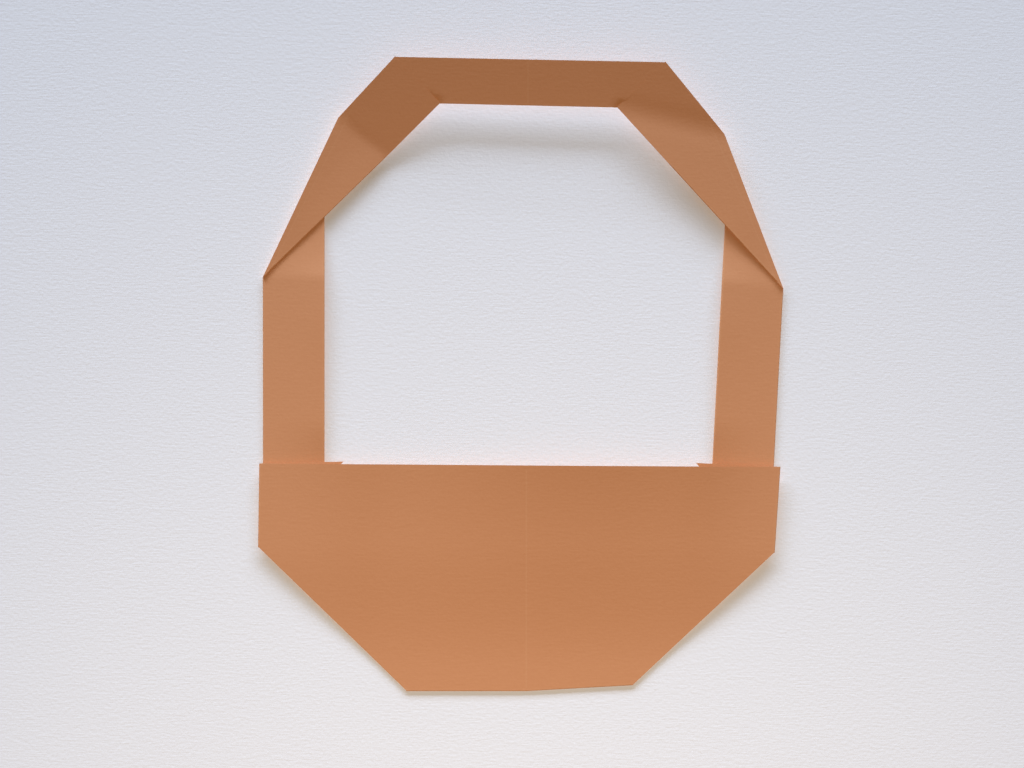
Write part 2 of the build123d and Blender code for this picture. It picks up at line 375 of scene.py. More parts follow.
def on_plane(plane: np.ndarray, plan: np.ndarray) -> np.ndarray:
    """Gives the heights of a plane.

    Args:
        plane: Its two rises and its height over the origin.
        plan: Points, one row each.

    Returns:
        Their heights.
    """
    return plan @ plane[:2] + plane[2]


def bump(value: np.ndarray, middle: float, width: float) -> np.ndarray:
    """Gives a smooth bump of height one: the falling exponential of a squared distance.

    Args:
        value: Where to read it.
        middle: Where it peaks.
        width: How wide it is.

    Returns:
        Its heights.
    """
    return np.exp(-(((value - middle) / width) ** 2))


@dataclass(frozen=True)
class Sprung:
    """How one half of the hoop has sprung open, in millimetres."""

    bend: float
    bend_width: float
    tip_rest: float
    tip_rise: float
    crease_slope: float
    crest: float
    slit: float
    crest_out: float = 0.12
    inner_rise: float = 0.8


LEFT_SPRUNG = Sprung(
    bend=0.0,
    bend_width=1.6,
    tip_rest=0.3,
    tip_rise=1.0,
    crease_slope=0.0,
    crest=0.9,
    slit=3.6,
)
RIGHT_SPRUNG = Sprung(
    bend=1.0,
    bend_width=5.5,
    tip_rest=0.6,
    tip_rise=1.4,
    crease_slope=-0.12,
    crest=0.85,
    slit=2.8,
)


@dataclass(frozen=True)
class Mouth:
    """How the pocket's front stands open along its mouth, in millimetres."""

    middle: float = -2.0
    half: float = 78.0
    fade: float = 24.0
    at_sides: float = 0.3
    between: float = 0.7
    belly: float = 2.5
    belly_at: float = 18.0
    belly_width: float = 46.0
    left_flap: float = 0.5
    left_flap_in: float = 4.0
    right_flap: float = 0.4
    flap_width: float = 9.0
    power: float = 2.2
    sink: float = 0.88
    sink_span: tuple = (8, 45)


@dataclass(frozen=True)
class Crest:
    """How the soft crease across an upright's head falls off, in millimetres."""

    rounding: float = 0.6
    above: float = 9.0
    below: float = 26.0
    edge_span: tuple = (-4, 14)
    fade_span: tuple = (-16, 12)
    fade: float = 0.8
    edge_power: float = 1.5


MOUTH = Mouth()
CREST = Crest()


class Relief:
    """How far the paper stands off the plan, in millimetres, part by part."""

    def __init__(self, left: Half, right: Half):
        """Lays the hoop's plane through both shoulders and the left lap.

        Args:
            left: The left half.
            right: The right half.
        """
        self.left = left
        self.right = right
        heads = [(h.turn_head, h.side.shoulder_rise - SHOULDER_DROP) for h in (left, right)]
        self.hoop_plane = plane_over(*heads, (left.lap, LAP_RISE - LAP_DROP))

    def panel(self, plan: np.ndarray) -> np.ndarray:
        """Gives the height of the pocket's front.

        It rises from the bottom fold to the mouth as a power of the height in the plan. The rise
        is widest right of the middle, has a low bump over the tip of each side flap and fades to
        the side folds. Near the bottom, where no upright lies below, it sinks to the ground. The
        opened crease is a narrow dent.

        Args:
            plan: Points, one row each.

        Returns:
            Their heights.
        """
        x, y = plan[:, 0], np.clip(plan[:, 1], 0, None)
        left_at = self.left.flap_tip[0] + MOUTH.left_flap_in
        between = smooth_step(MOUTH.half - np.abs(x - MOUTH.middle), 0, MOUTH.fade)
        mouth = MOUTH.at_sides + MOUTH.between * between
        mouth += MOUTH.belly * bump(x, MOUTH.belly_at, MOUTH.belly_width)
        mouth += MOUTH.left_flap * bump(x, left_at, MOUTH.flap_width)
        mouth += MOUTH.right_flap * bump(x, self.right.flap_tip[0], MOUTH.flap_width)
        sink = MOUTH.sink * (1 - smooth_step(y, *MOUTH.sink_span))
        dent = CREASE_DENT * bump(x, 0, CREASE_WIDTH)
        return mouth * (y / POCKET_H) ** MOUTH.power - sink - dent

    def behind(self, plan: np.ndarray) -> np.ndarray:
        """Gives the height of the layers folded behind the pocket's front.

        Args:
            plan: Points, one row each.

        Returns:
            Their heights, which follow the front's rise at a share.
        """
        height = self.panel(plan)
        return height - BEHIND_LAG * np.clip(height, 0, None)

    def strip(self, half: Half, sprung: Sprung, share: float) -> HeightOf:
        """Makes the relief of one layer of an upright.

        The soft crease near its head is a crest: the paper falls off steeply above it and slowly
        below it. The inner edge stands up between the pocket and the arm.

        Args:
            half: The half of the basket.
            sprung: How that half has sprung open.
            share: How much of the relief the layer follows.

        Returns:
            A function that gives the heights of points.
        """

        def height(plan: np.ndarray) -> np.ndarray:
            """Gives the layer's heights.

            Args:
                plan: Points, one row each.

            Returns:
                Their heights.
            """
            across = np.clip(half.strip_edge.past(plan, -half.out) / BAND_W, 0, 1)
            over = plan[:, 1] - half.tip[1] - sprung.crease_slope * (plan[:, 0] - half.tip[0])
            crest = sprung.crest_out + (sprung.crest - sprung.crest_out) * across
            above = np.hypot(np.clip(over, 0, None), CREST.rounding) - CREST.rounding
            crest = crest * np.exp(-above / CREST.above + np.clip(over, None, 0) / CREST.below)
            edge = smooth_step(plan[:, 1] - POCKET_H, *CREST.edge_span)
            edge *= 1 - CREST.fade * smooth_step(over, *CREST.fade_span)
            return share * (crest + sprung.inner_rise * edge * across**CREST.edge_power)

        return height

    def arm(self, half: Half, sprung: Sprung) -> HeightOf:
        """Makes the relief of an arm.

        Its lower part is a plane from the turned fold, which is pressed down near the tip; its end
        follows the plane of the hoop. The two pass into each other over a soft bend, which starts
        at the shoulder.

        Args:
            half: The half of the basket.
            sprung: How that half has sprung open.

        Returns:
            A function that gives the heights of points.
        """
        at = half.lap + (half.end_inner - half.lap) * sprung.bend
        rises = on_plane(self.hoop_plane, np.array([half.shoulder, at]))
        plane = plane_over((half.turn_foot, 0.0), (half.shoulder, rises[0]), (at, rises[1]))
        bend = through(half.shoulder, at)

        def height(plan: np.ndarray) -> np.ndarray:
            """Gives the arm's heights.

            Args:
                plan: Points, one row each.

            Returns:
                Their heights.
            """
            lower = on_plane(plane, plan)
            lower = lower * (1 - sprung.tip_rest * bump(lower, 0, sprung.tip_rise))
            lower -= TIP_PRESS * (1 - smooth_step((plan - half.tip) @ half.run, *TIP_SPAN))
            past = bend.past(plan, half.run)
            share = smooth_step(past, -sprung.bend_width, sprung.bend_width)
            return lower + share * (on_plane(self.hoop_plane, plan) - lower)

        return height

    def top(self, plan: np.ndarray) -> np.ndarray:
        """Gives the height of the top band.

        It is flush with the ends of the arms, but for a groove along each mitre near the inner
        corner, where the tuck shows as a slit. Its opened crease is a narrow dent.

        Args:
            plan: Points, one row each.

        Returns:
            Their heights.
        """
        height = self.hoop(plan) - BAND_SINK
        height -= CREASE_DENT * bump(plan[:, 0], CREASE_X, CREASE_WIDTH)
        for half, sprung in ((self.left, LEFT_SPRUNG), (self.right, RIGHT_SPRUNG)):
            across = half.mitre.past(plan, half.run)
            along = np.linalg.norm(plan - half.end_inner, axis=1) / sprung.slit
            fade = 1 - smooth_step(along, *SLIT_FADE)
            height -= SLIT_DEPTH * bump(across, 0, SLIT_WIDTH) * fade
        return height

    def hoop(self, plan: np.ndarray) -> np.ndarray:
        """Gives the height of the hoop's upper plane.

        Args:
            plan: Points, one row each.

        Returns:
            Their heights.
        """
        return on_plane(self.hoop_plane, plan)


class Round:
    """The round that joins two layers along a fold.

    Each section lies in the upright plane across the fold. Its height is the distance from the
    lower layer's underside to the upper layer's face. Its reach is half of that, so that the
    round widens where the layers have sprung apart, or else it runs out to an edge line, less the
    layers outside it. Its upper quarter is flattened, so that the upper layer stays straight up to
    its outline, and its lower quarter is drawn out to meet it: for a flatness f and a turn t, the
    reach goes with the cosine of t, to the power 1 - 0.8 f below, and the height with f plus 1 - f
    times the sine of t above, and f plus 1 + f times it below. It also takes the share f of the
    upper layer's own relief past the axis, less below.
    """

    def __init__(
        self,
        ends: tuple,
        towards: np.ndarray,
        levels: tuple,
        heights: tuple,
        flat: float = 0.0,
        edge: Line | None = None,
    ):
        """Lays out the ring of a section: its outer arc upwards, then its inner arc back.

        Args:
            ends: Where the fold's axis starts and where it ends.
            towards: The side that the round bulges to.
            levels: The lower and the upper layer.
            heights: Gives the height under the stack, for the lower and for the upper layer.
            flat: How flat the upper quarter is, from 0 for a half ring to 1.
            edge: The line that the outermost round reaches, where the fold has one.
        """
        self.start, self.end = ends
        self.bulge = through(self.start, self.end).normal(towards)
        self.levels = levels
        self.heights = heights
        self.edge = edge
        turns = np.radians(np.linspace(-90, 90, RING))
        turns = np.concatenate([turns, turns[::-1]])
        self.thin = np.repeat([0.0, PAPER], RING)
        self.reach = np.cos(turns) ** np.where(turns > 0, 1.0, 1 - FLATTEN * flat)
        self.rise = flat + (1 - flat * np.sign(turns)) * np.sin(turns)
        self.follow = flat * (1 + np.clip(np.sin(turns), -1, 0))

    def section(self, share: np.ndarray) -> tuple:
        """Gives the round's points, one for each share of the way along the axis.

        Args:
            share: The shares, with one column a point of the ring.

        Returns:
            The points in the plan and their heights.
        """
        lower, upper = self.heights
        axis = self.start + share[..., None] * (self.end - self.start)
        rows = axis.reshape(-1, 2)
        low = lower(rows) + self.levels[0].value * PITCH
        high = upper(rows) + self.levels[1].value * PITCH + PAPER
        radius = ((high - low) / 2).reshape(share.shape) - self.thin
        wide = radius
        if self.edge is not None:
            wide = self.edge.past(axis, -self.bulge) - self.levels[0].value * PITCH - self.thin
        plan = axis + (wide * self.reach)[..., None] * self.bulge
        gain = (upper(plan.reshape(-1, 2)) - upper(rows)).reshape(share.shape)
        middle = ((high + low) / 2).reshape(share.shape)
        return plan, middle + radius * self.rise + self.follow * gain

    def span(self, stops: tuple) -> tuple:
        """Gives where each line along the round starts and ends.

        Args:
            stops: Pairs of a line and the direction to the side that is kept.

        Returns:
            The first and the last share of the axis, for each point of the ring.
        """
        whole = (np.zeros(2 * RING), np.ones(2 * RING))
        first, last = whole
        for line, keep in stops:
            near, far = (line.past(self.section(share)[0], keep) for share in whole)
            crossing = near / np.where(near == far, 1.0, near - far)
            first = np.where(near < 0, np.maximum(first, crossing), first)
            last = np.where(far < 0, np.minimum(last, crossing), last)
        return first, last

    def points(self, stops: tuple) -> np.ndarray:
        """Gives all the round's points, ring by ring.

        Args:
            stops: Pairs of a line and the direction to the side that is kept.

        Returns:
            One row a point.
        """
        first, last = self.span(stops)
        steps = max(2, int(np.linalg.norm(self.end - self.start) / GRAIN))
        share = first + (last - first) * np.linspace(0, 1, steps + 1)[:, None]
        return np.dstack(self.section(share)).reshape(-1, 3)

    def faces(self, rings: int) -> list:
        """Gives the faces round the sides and over both ends, facing outward.

        Args:
            rings: How many rings of points there are.

        Returns:
            The sides' rows and the ends' rows of point numbers.
        """
        ring = np.arange(2 * RING)
        rows = 2 * RING * np.arange(rings - 1)[:, None]
        row, after = ring[None, :] + rows, np.roll(ring, -1)[None, :] + rows
        sides = np.stack([row, after, after + 2 * RING, row + 2 * RING], axis=-1).reshape(-1, 4)
        arc = ring[: RING - 1]
        back = 2 * RING - 2 - arc
        cap = np.stack([arc, arc + 1, back, back + 1], axis=-1)
        caps = np.vstack([cap[:, ::-1], cap + 2 * RING * (rings - 1)])
        along = self.end - self.start
        if self.bulge[0] * along[1] - self.bulge[1] * along[0] < 0:
            return [sides[:, ::-1], caps[:, ::-1]]
        return [sides, caps]


@dataclass
class Shell:
    """Points, faces and fold lightening of the sheet, gathered layer by layer; the lightening is
    fibres whitened by folding and painted highlight.
    """

    shift: np.ndarray
    points: list = field(default_factory=list)
    faces: list = field(default_factory=list)
    wear_and_highlight: list = field(default_factory=list)
    count: int = 0

    def add(self, points: np.ndarray, faces: list, wear_and_highlight: np.ndarray) -> None:
        """Adds one closed shell.

        Args:
            points: Its points in millimetres, in the plan's frame.
            faces: Index arrays, one row a face.
            wear_and_highlight: How much lighter each point is drawn, from 0 to 1: fibres whitened
                by folding, and painted highlight.
        """
        self.points.append(points)
        self.faces += [rows + self.count for rows in faces]
        self.wear_and_highlight.append(wear_and_highlight)
        self.count += len(points)

    def layer(
        self, corners: list, level: Level, height: HeightOf, edges: list, creases: tuple = ()
    ) -> None:
        """Adds one layer: a thin plate over a polygon of the plan.

        Args:
            corners: The polygon's corners, in order.
            level: Its place in the stack.
            height: Gives the height under the stack for points of the plan.
            edges: How each edge shows, from each corner to the next.
            creases: Pairs of points that opened creases run between.
        """
        plan, triangles, rim, wear_and_highlight = meshed(np.array(corners), edges, creases)
        low = height(plan) + level.value * PITCH
        size = len(plan)
        under = np.column_stack([plan, low])
        over = np.column_stack([plan, low + PAPER])
        after = np.roll(rim, -1)
        wall = np.column_stack([rim, after, after + size, rim + size])
        self.add(
            np.vstack([under, over]), [triangles[:, ::-1], triangles + size, wall], np.tile(wear_and_highlight, 2)
        )

    def fold(self, made: Round, stops: tuple = (), wear_and_highlight: Edge = Edge.FOLD) -> None:
        """Adds the round of a fold, up to its stops.

        Args:
            made: The round.
            stops: Pairs of a line and the direction to the side that is kept.
            wear_and_highlight: How much lighter the round is drawn: fibres whitened by folding, and
                painted highlight.
        """
        points = made.points(stops)
        faces = made.faces(len(points) // (2 * RING))
        self.add(points, faces, np.full(len(points), wear_and_highlight.value))

    def build(self, name: str) -> bpy.types.Object:
        """Makes the Blender object.

        Args:
            name: The object's name.

        Returns:
            The object, at the origin, in metres.
        """
        points = np.vstack(self.points)
        points[:, :2] -= self.shift
        points *= MM
        sizes = np.concatenate([np.full(len(f), f.shape[1]) for f in self.faces])
        loops = np.concatenate([f.ravel() for f in self.faces])
        mesh = bpy.data.meshes.new(name)
        mesh.vertices.add(len(points))
        mesh.vertices.foreach_set("co", points.astype(np.float32).ravel())
        mesh.loops.add(len(loops))
        mesh.loops.foreach_set("vertex_index", loops.astype(np.int32))
        mesh.polygons.add(len(sizes))
        starts = np.concatenate([[0], np.cumsum(sizes)[:-1]]).astype(np.int32)
        mesh.polygons.foreach_set("loop_start", starts)
        mesh.polygons.foreach_set("loop_total", sizes.astype(np.int32))
        # Lighter along folds and creases: fibres whitened by folding, and painted highlight.
        wear_and_highlight = mesh.attributes.new("wear_and_highlight", "FLOAT", "POINT")
        wear_and_highlight.data.foreach_set("value", np.concatenate(self.wear_and_highlight).astype(np.float32))
        mesh.update(calc_edges=True)
        mesh.validate()
        mesh.shade_smooth()
        mesh.set_sharp_from_angle(angle=np.radians(SHARP_ANGLE))
        made = bpy.data.objects.new(name, mesh)
        bpy.context.scene.collection.objects.link(made)
        return made


def to_edges(points: np.ndarray, corners: np.ndarray) -> np.ndarray:
    """Gives how far points lie from the edges of a polygon.

    Args:
        points: Points of the plan, one row each.
        corners: The polygon's corners.

    Returns:
        One row a point and one column an edge.
    """
    start, span = corners, np.roll(corners, -1, axis=0) - corners
    gap = points[:, None, :] - start[None, :, :]
    share = np.clip((gap * span).sum(-1) / (span * span).sum(-1), 0, 1)
    return np.linalg.norm(gap - share[..., None] * span, axis=-1)


def inside(points: np.ndarray, corners: np.ndarray) -> np.ndarray:
    """Tells which points lie within a polygon: a ray from each crosses an odd number of edges.

    Args:
        points: Points of the plan, one row each.
        corners: The polygon's corners.

    Returns:
        True for each point within.
    """
    a, b = corners, np.roll(corners, -1, axis=0)
    x, y = points[:, :1], points[:, 1:]
    spans = (a[:, 1] > y) != (b[:, 1] > y)
    rise = np.where(b[:, 1] == a[:, 1], 1.0, b[:, 1] - a[:, 1])
    cross = a[:, 0] + (y - a[:, 1]) * (b[:, 0] - a[:, 0]) / rise
    return (spans & (x < cross)).sum(axis=1) % 2 == 1


def well_inside(points: np.ndarray, corners: np.ndarray, clear: float) -> np.ndarray:
    """Tells which points lie within a polygon and clear of its edges.

    Args:
        points: Points of the plan, one row each.
        corners: The polygon's corners.
        clear: The least distance from an edge.

    Returns:
        True for each such point.
    """
    return inside(points, corners) & (to_edges(points, corners).min(axis=1) > clear)


def rimmed(corners: np.ndarray, edges: list) -> tuple:
    """Gives even points along a polygon's edges and a second row of points just within them.

    Args:
        corners: The polygon's corners, anticlockwise.
        edges: How each edge shows, from each corner to the next.

    Returns:
        The points on the edges, how much lighter each is drawn (fibres whitened by folding, and
        painted highlight), and the points within.
    """
    spans = np.roll(corners, -1, axis=0) - corners
    lengths = np.linalg.norm(spans, axis=1)
    counts = np.maximum(1, np.ceil(lengths / GRAIN).astype(int))
    rim = np.concatenate(
        [c + np.arange(n)[:, None] / n * s for c, n, s in zip(corners, counts, spans)]
    )
    worn_and_lit = np.concatenate([np.full(n, e.value) for n, e in zip(counts, edges)])
    inwards = np.stack([-spans[:, 1], spans[:, 0]], axis=1) / lengths[:, None]
    inset = rim + np.repeat(inwards, counts, axis=0) * RIM
    return rim, worn_and_lit, inset[well_inside(inset, corners, RIM_CLEAR)]


def gridded(corners: np.ndarray) -> np.ndarray:
    """Gives even points inside a polygon, in rows of equal triangles.

    Args:
        corners: The polygon's corners.

    Returns:
        The points, one row each.
    """
    low, high = corners.min(axis=0), corners.max(axis=0)
    across, upward = np.meshgrid(
        np.arange(low[0], high[0], GRAIN), np.arange(low[1], high[1], GRAIN * ROW_RISE)
    )
    across[1::2] += GRAIN / 2
    grid = np.column_stack([across.ravel(), upward.ravel()])
    return grid[well_inside(grid, corners, GRID_CLEAR)]


def creased(corners: np.ndarray, creases: tuple) -> tuple:
    """Gives points along the creases of a polygon and on both sides of them.

    Args:
        corners: The polygon's corners.
        creases: Pairs of points that opened creases run between.

    Returns:
        The points on the creases and the points beside them.
    """
    lines, sides = [np.zeros((0, 2))], [np.zeros((0, 2))]
    for start, end in creases:
        steps = np.linspace(0, 1, int(np.linalg.norm(end - start) / CREASE_STEP))[:, None]
        beside = through(start, end).normal(ACROSS) * CREASE_SIDE
        lines.append(start + steps * (end - start))
        sides += [lines[-1] + beside, lines[-1] - beside]
    lines, sides = np.vstack(lines), np.vstack(sides)
    kept = [well_inside(points, corners, CREASE_CLEAR) for points in (lines, sides)]
    return lines[kept[0]], sides[kept[1]]


def filled(points: np.ndarray, rim: int, corners: np.ndarray) -> tuple:
    """Joins points into triangles that fill a polygon, all facing up.

    Args:
        points: The points, those on the polygon's edges first and in order.
        rim: How many of them lie on the edges.
        corners: The polygon's corners.

    Returns:
        The points as they were joined, the triangles, and where each given point went.
    """
    order = np.arange(rim)
    loop = np.column_stack([order, np.roll(order, -1)])
    made = delaunay_2d_cdt(list(map(Vector, points)), loop.tolist(), [], 1, WELD, True)
    plan = np.array([tuple(p) for p in made[0]])
    origin = np.array([ids[0] if ids else -1 for ids in made[3]])
    triangles = np.array(made[2])
    place = np.full(len(points), -1)
    place[origin[origin >= 0]] = np.nonzero(origin >= 0)[0]
    a, b, c = (plan[triangles[:, i]] for i in range(3))
    twice = (b - a)[:, 0] * (c - a)[:, 1] - (b - a)[:, 1] * (c - a)[:, 0]
    kept = inside(plan[triangles].mean(axis=1), corners) & (np.abs(twice) > SLIVER)
    triangles = np.where((twice < 0)[:, None], triangles[:, ::-1], triangles)[kept]
    return plan, triangles, place


def meshed(corners: np.ndarray, edges: list, creases: tuple) -> tuple:
    """Fills a polygon with even triangles, with a narrow rim along its edges and creases.

    Args:
        corners: The polygon's corners.
        edges: How each edge shows, from each corner to the next.
        creases: Pairs of points that opened creases run between.

    Returns:
        The points, the triangles, the order of the points round the rim, and how much lighter each
        point is drawn: fibres whitened by folding, and painted highlight.
    """
    after = np.roll(corners, -1, axis=0)
    if (corners[:, 0] * after[:, 1] - corners[:, 1] * after[:, 0]).sum() < 0:
        corners = corners[::-1]
        edges = [*edges[:-1][::-1], edges[-1]]
    rim, worn_and_lit, inset = rimmed(corners, edges)
    lines, sides = creased(corners, creases)
    grid = gridded(corners)
    for start, end in creases:
        grid = grid[np.abs(through(start, end).past(grid, ACROSS)) > CREASE_STEP]
    points = np.vstack([rim, lines, inset, sides, grid])
    plan, triangles, place = filled(points, len(rim), corners)
    # Lighter along rim folds and creases: fibres whitened by folding, and painted highlight.
    wear_and_highlight = np.zeros(len(plan))
    wear_and_highlight[place[: len(rim)]] = worn_and_lit
    on_crease = place[len(rim) : len(rim) + len(lines)]
    wear_and_highlight[on_crease[on_crease >= 0]] = Edge.FOLD.value
    return plan, triangles, place[: len(rim)], wear_and_highlight


@dataclass
class Pocket:
    """The pocket in front: panel, side flaps and the corner folded up behind."""

    left: Half
    right: Half
    relief: Relief

    def fold_into(self, shell: Shell) -> None:
        """Adds the pocket's layers and folds.

        Args:
            shell: Where they go.
        """
        left, right = self.left, self.right
        front, behind = self.relief.panel, self.relief.behind
        middle = UP * ROLL
        corners = [half.corner + UP * ROLL for half in (left, right)]
        panel = [left.axis_head, left.axis_foot, corners[0], middle, corners[1]]
        panel += [right.axis_foot, right.axis_head]
        fold, raw = Edge.FOLD, Edge.RAW
        crease = (middle, UP * left.mouth[1])
        shell.layer(panel, Level.PANEL, front, [fold, raw, fold, fold, raw, fold, raw], (crease,))
        apex = [corners[0], middle, corners[1], UP * APEX_RISE]
        shell.layer(apex, Level.FLAP, behind, [fold, fold, raw, raw])
        levels, heights = (Level.FLAP, Level.PANEL), (behind, front)
        for corner in corners:
            shell.fold(Round((corner, middle), -UP, levels, heights))
        for half in (left, right):
            flap = [half.axis_head, half.flap_tip, half.axis_foot]
            shell.layer(flap, Level.FLAP, behind, [raw, fold, fold])
            shell.fold(Round((half.axis_foot, half.axis_head), half.out, levels, heights))


@dataclass
class Handle:
    """The pleated hoop: two uprights, two arms turned over at their feet, and the top band."""

    left: Half
    right: Half
    relief: Relief

    def upright(self, shell: Shell, half: Half, sprung: Sprung) -> None:
        """Adds one upright and the folds along it.

        Args:
            shell: Where they go.
            half: The half of the basket.
            sprung: How that half has sprung open.
        """
        foot_outer = half.flap_edge.meets(half.strip_outer)
        foot_inner = half.flap_edge.meets(half.strip_inner)
        corners = [foot_outer, foot_inner, half.cross, half.turn_head, half.heel, half.toe]
        levels = (Level.BACK, Level.PLEAT, Level.UPRIGHT)
        heights = tuple(self.relief.strip(half, sprung, share) for share in LAYER_SHARES)
        for level, height in zip(levels, heights):
            shell.layer(corners, level, height, [Edge.FOLD] * 6)
        shell.fold(Round((foot_outer, half.toe), half.out, levels[:2], heights[:2]))
        shell.fold(Round((foot_inner, half.cross), -half.out, levels[1:], heights[1:]))
        self.turn(shell, half, sprung, heights)

    def turn(self, shell: Shell, half: Half, sprung: Sprung, uprights: tuple) -> None:
        """Adds the nested rounds that turn the layers over into the arm.

        Args:
            shell: Where they go.
            half: The half of the basket.
            sprung: How that half has sprung open.
            uprights: The relief of each layer of the upright.
        """
        arm = self.relief.arm(half, sprung)
        stops = ((half.strip_edge, -half.out), (half.arm_outer, -UP), (half.arm_line, UP))
        head = half.turn_head + (half.turn_head - half.turn_foot) * TURN_OVER
        pairs = ((Level.BACK, Level.FRONT), (Level.PLEAT, Level.PANEL), (Level.UPRIGHT, Level.FLAP))
        for pair, low in zip(pairs, uprights):
            made = Round((half.turn_foot, head), half.out, pair, (low, arm), 1.0, half.taper)
            shell.fold(made, stops, Edge.RAW)

    def arm(self, shell: Shell, half: Half, sprung: Sprung) -> None:
        """Adds one arm: its front, the short layers under it and the wedge under its end.

        Args:
            shell: Where they go.
            half: The half of the basket.
            sprung: How that half has sprung open.
        """
        height, hoop = self.relief.arm(half, sprung), self.relief.hoop
        end_inner = half.mitre.meets(half.arm_inner)
        end_outer = half.mitre.meets(half.arm_outer)
        free = half.lap - half.arm_line.normal(UP) * ROLL
        front = [half.heel, half.lap, free, half.end_inner, end_outer, half.turn_head]
        edges = [Edge.FOLD, *[Edge.RAW] * 3, Edge.FOLD, Edge.FOLD]
        shell.layer(front, Level.FRONT, height, edges)
        short = [half.heel, half.lap, half.turn_head]
        for level in (Level.FLAP, Level.PANEL):
            shell.layer(short, level, height, [Edge.FOLD, Edge.RAW, Edge.FOLD])
        levels = (Level.PANEL, Level.FRONT)
        shell.fold(Round((half.heel, half.lap), -UP, levels, (height, height)))
        tuck = Line(end_outer, heading(-half.side.hand, 90 + half.side.arm_angle / 2))
        wedge = [end_outer, end_inner, tuck.meets(half.arm_inner)]
        shell.layer(wedge, Level.PANEL, hoop, [Edge.FOLD] * 3)
        inner = self.inner_fold()
        hidden = [end_outer, tuck.meets(inner), half.mitre.meets(inner)]
        shell.layer(hidden, Level.FLAP, hoop, [Edge.FOLD] * 3)
        stops = ((half.arm_outer, -UP),)
        made = Round((end_inner, end_outer), half.run, levels, (height, height), 1.0)
        shell.fold(made, stops, Edge.RAW)

    def inner_fold(self) -> Line:
        """Gives the axis of the fold along the top band's inner edge.

        Returns:
            The line.
        """
        return through(self.left.end_inner, self.right.end_inner).shifted(UP, ROLL)

    def top(self, shell: Shell) -> None:
        """Adds the top band between the arms, with its hem behind.

        Args:
            shell: Where they go.
        """
        halves = (self.left, self.right)
        inner = self.inner_fold()
        top = [half.mitre.meets(half.arm_outer) for half in halves]
        low = [half.mitre.meets(inner) for half in halves]
        height = self.relief.top
        edges = [Edge.RAW, Edge.FOLD, Edge.RAW, Edge.FOLD]
        crease = (np.array([CREASE_X, low[0][1]]), np.array([CREASE_X, top[0][1]]))
        shell.layer([top[0], low[0], low[1], top[1]], Level.FRONT, height, edges, (crease,))
        hem = [half.mitre.meets(inner.shifted(UP, HEM)) for half in halves]
        shell.layer([low[0], low[1], hem[1], hem[0]], Level.PANEL, height, edges)
        shell.fold(Round(tuple(low), -UP, (Level.PANEL, Level.FRONT), (height, height)))

    def fold_into(self, shell: Shell) -> None:
        """Adds the handle's layers and folds.

        Args:
            shell: Where they go.
        """
        for half, sprung in ((self.left, LEFT_SPRUNG), (self.right, RIGHT_SPRUNG)):
            self.upright(shell, half, sprung)
            self.arm(shell, half, sprung)
        self.top(shell)


@dataclass(frozen=True)
class Finish:
    """How a sheet of paper looks; scales are waves per metre and bumps are metres."""

    name: str
    colour: tuple
    deep: tuple
    # The colour drawn along folds and creases, and below its share: fibres whitened by folding, and
    # painted highlight.
    worn_and_lit: tuple
    roughness: float
    specular: float
    ior: float
    mottle: float
    fibre: float
    bump: float
    mottle_detail: int = 3
    fibre_detail: int = 4
    mottle_share: float = 0.6
    fibre_share: float = 0.4
    fibre_stretch: tuple = (1.0, 7.0, 1.0)
    fibre_turn: float = 24.0
    worn_and_lit_share: float = 0.14


KRAFT = Finish(
    name="kraft_paper",
    colour=(0.548, 0.238, 0.106),
    deep=(0.501, 0.208, 0.087),
    # Lighter colour along folds and creases: fibres whitened by folding, and painted highlight.
    worn_and_lit=(0.64, 0.35, 0.19),
    roughness=0.8,
    specular=0.7,
    ior=1.5,
    mottle=1100.0,
    fibre=240.0,
    bump=0.00004,
)
GROUND = Finish(
    name="pale_sheet",
    colour=(0.742, 0.735, 0.785),
    deep=(0.705, 0.698, 0.75),
    worn_and_lit=(0.8, 0.8, 0.8),
    roughness=0.85,
    specular=0.2,
    ior=1.45,
    mottle=900.0,
    fibre=260.0,
    bump=0.00008,
)


